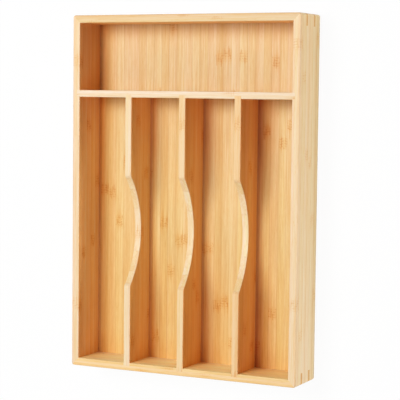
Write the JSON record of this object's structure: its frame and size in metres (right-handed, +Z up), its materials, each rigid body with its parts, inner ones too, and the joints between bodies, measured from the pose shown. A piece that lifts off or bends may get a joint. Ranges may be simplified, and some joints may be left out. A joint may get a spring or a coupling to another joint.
{
  "type": "cutlery tray",
  "caption": "Flat rectangular bamboo drawer tray with keyed mitre corners, a wide compartment across the back and long narrow ones parted by dividers with scalloped finger gaps.",
  "frame": {"origin": "middle of the underside, on the surface that the tray stands on", "axes": "+Z up, out of the open side; +Y towards the back wall and the wide compartment; +X to the right, seen from the front wall"},
  "size_m": [0.25, 0.36, 0.05],
  "materials": {
    "wall_bamboo": "natural bamboo, sanded, thin satin lacquer",
    "divider_bamboo": "natural bamboo, sanded, thin satin lacquer",
    "panel_bamboo": "edge-glued natural bamboo strips, thin satin lacquer",
    "key_bamboo": "carbonised bamboo, sanded flush, thin satin lacquer"
  },
  "bodies": {
    "root": {"left_wall": "wall_bamboo", "right_wall": "wall_bamboo", "front_wall": "wall_bamboo", "back_wall": "wall_bamboo", "bottom_panel": "panel_bamboo", "cross_divider": "divider_bamboo", "left_divider": "divider_bamboo", "middle_divider": "divider_bamboo", "right_divider": "divider_bamboo", "front_left_lower_key": "key_bamboo", "front_left_upper_key": "key_bamboo", "front_right_lower_key": "key_bamboo", "front_right_upper_key": "key_bamboo", "back_left_lower_key": "key_bamboo", "back_left_upper_key": "key_bamboo", "back_right_lower_key": "key_bamboo", "back_right_upper_key": "key_bamboo"}
  },
  "joints": []
}
